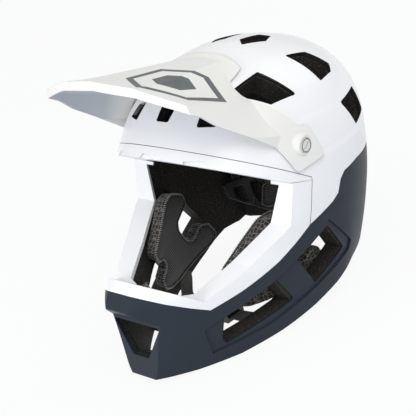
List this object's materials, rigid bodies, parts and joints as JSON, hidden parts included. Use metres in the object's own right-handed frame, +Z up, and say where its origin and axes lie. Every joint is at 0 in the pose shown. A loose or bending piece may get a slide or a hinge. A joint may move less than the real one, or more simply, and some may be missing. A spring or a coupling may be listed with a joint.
{
  "type": "downhill bike full face helmet",
  "caption": "Full face cycling helmet with a vented two-tone shell, chin bar, foam, hinged visor peak, padding, chin strap and nape cradle with a dial.",
  "frame": {"origin": "centre of the bounding box in plan, at the height of the surface that the helmet stands on", "axes": "+Z up as the helmet stands on its cheek rims and nape, the face looks to -Y and slightly up, the wearer's left is +X"},
  "size_m": [0.228, 0.3414, 0.2864],
  "materials": {
    "shell_white": "satin gloss",
    "shell_navy": "satin",
    "visor_white": "satin, slightly warmer white",
    "foam": "dark expanded foam",
    "screw_metal": "anodised",
    "black_rubber": "matte",
    "pad_cloth": "knitted",
    "black_plastic": "satin",
    "webbing": "woven"
  },
  "bodies": {
    "helmet": {"upper_shell": "shell_white", "lower_shell": "shell_navy", "face_frame": "shell_white", "brow_trim": "shell_white", "crown_liner": "foam", "nape_liner": "foam", "chin_liner": "foam", "visor_screws": "screw_metal", "visor_washers": "black_rubber", "visor_nuts": "screw_metal", "cheek_pad_left": "pad_cloth", "cheek_pad_right": "pad_cloth", "cradle_arm_left": "black_plastic", "cradle_arm_right": "black_plastic", "arm_anchors": "black_plastic", "strap_left": "webbing", "strap_right": "webbing", "strap_anchors": "black_plastic", "buckle_socket": "black_plastic", "buckle_tongue": "black_plastic", "brow_pad": "pad_cloth", "crown_pad": "pad_cloth", "chin_pad": "pad_cloth"},
    "peak": {"visor": "visor_white"},
    "nape_cradle": {"cradle_yoke": "black_plastic", "nape_pads": "pad_cloth", "dial_axle": "screw_metal"},
    "dial": {"size_dial": "black_rubber"}
  },
  "joints": [
    {"name": "visor_tilt", "type": "hinge", "parent": "helmet", "child": "peak", "pos_m": [0, 0.00899, 0.16938], "axis": [1, 0, 0], "range_deg": [0, 8]},
    {"name": "cradle_slide", "type": "slide", "parent": "helmet", "child": "nape_cradle", "axis": [0, -0.9916, 0.1293], "range_m": [0, 0.008]},
    {"name": "dial_turn", "type": "hinge", "parent": "nape_cradle", "child": "dial", "pos_m": [0, 0.11171, 0.04303], "axis": [0, 0.8955, -0.4451], "range_deg": [0, 270]}
  ],
  "couplings": [
    {"joint": "cradle_slide", "follows": "dial_turn", "m_per_rad": 0.0016976}
  ]
}
